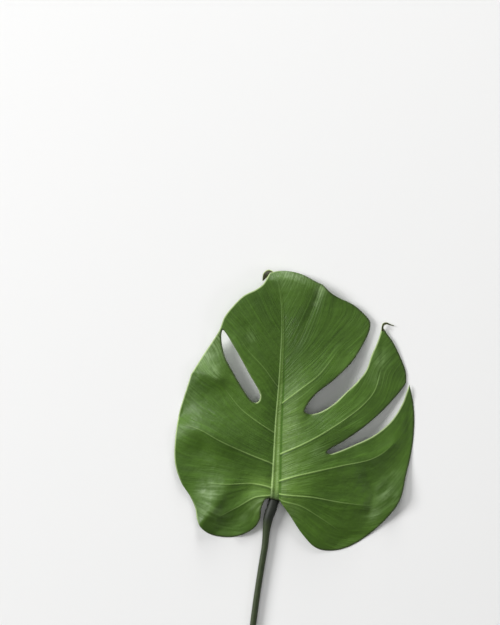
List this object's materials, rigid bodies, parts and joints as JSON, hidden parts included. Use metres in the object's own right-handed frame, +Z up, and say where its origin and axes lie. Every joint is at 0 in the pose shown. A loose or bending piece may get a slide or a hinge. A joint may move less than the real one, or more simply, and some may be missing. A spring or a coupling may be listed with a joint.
{
  "type": "monstera leaf",
  "caption": "Cut split leaf lying face up: broad heart-shaped blade with a midrib, side veins, deep slots and curled tips, on a long round petiole.",
  "frame": {"origin": "on the surface that the leaf lies on, under the middle of its bounding box", "axes": "+Z up from the upper face of the blade, +Y along the midrib from the petiole to the apex, +X to the right seen from above"},
  "size_m": [0.2402, 0.4904, 0.0215],
  "materials": {
    "leaf_blade": "satin",
    "petiole": "satin"
  },
  "bodies": {
    "root": {"leaf_blade": "leaf_blade", "petiole": "petiole"}
  },
  "joints": []
}
